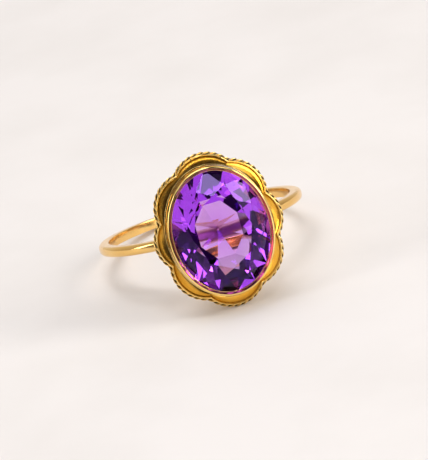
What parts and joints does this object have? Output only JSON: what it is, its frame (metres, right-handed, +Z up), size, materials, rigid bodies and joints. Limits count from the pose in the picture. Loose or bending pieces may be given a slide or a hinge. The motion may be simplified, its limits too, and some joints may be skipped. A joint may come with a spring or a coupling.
{
  "type": "cocktail ring",
  "caption": "Yellow gold ring with a large oval faceted purple stone in a plain bezel, a scalloped petal border with a rope edge, and a slim plain band.",
  "frame": {"origin": "centre of the finger hole, on the finger's axis, in the middle of the band's width", "axes": "The ring lies on its side as on a table, with +Z up. The head faces -Y and looks up by 16 degrees, +X runs across the stone, and the finger's axis is +Z leant back by the same angle towards +Y."},
  "size_m": [0.0192, 0.0246, 0.0136],
  "materials": {
    "gold": "polished yellow gold",
    "amethyst": "polished transparent purple quartz"
  },
  "bodies": {
    "root": {"shank": "gold", "gallery_rail": "gold", "collet": "gold", "stone_seat": "gold", "bezel_wall": "gold", "scalloped_border": "gold", "rim_wire": "gold", "rope_edge": "gold", "amethyst": "amethyst"}
  },
  "joints": []
}
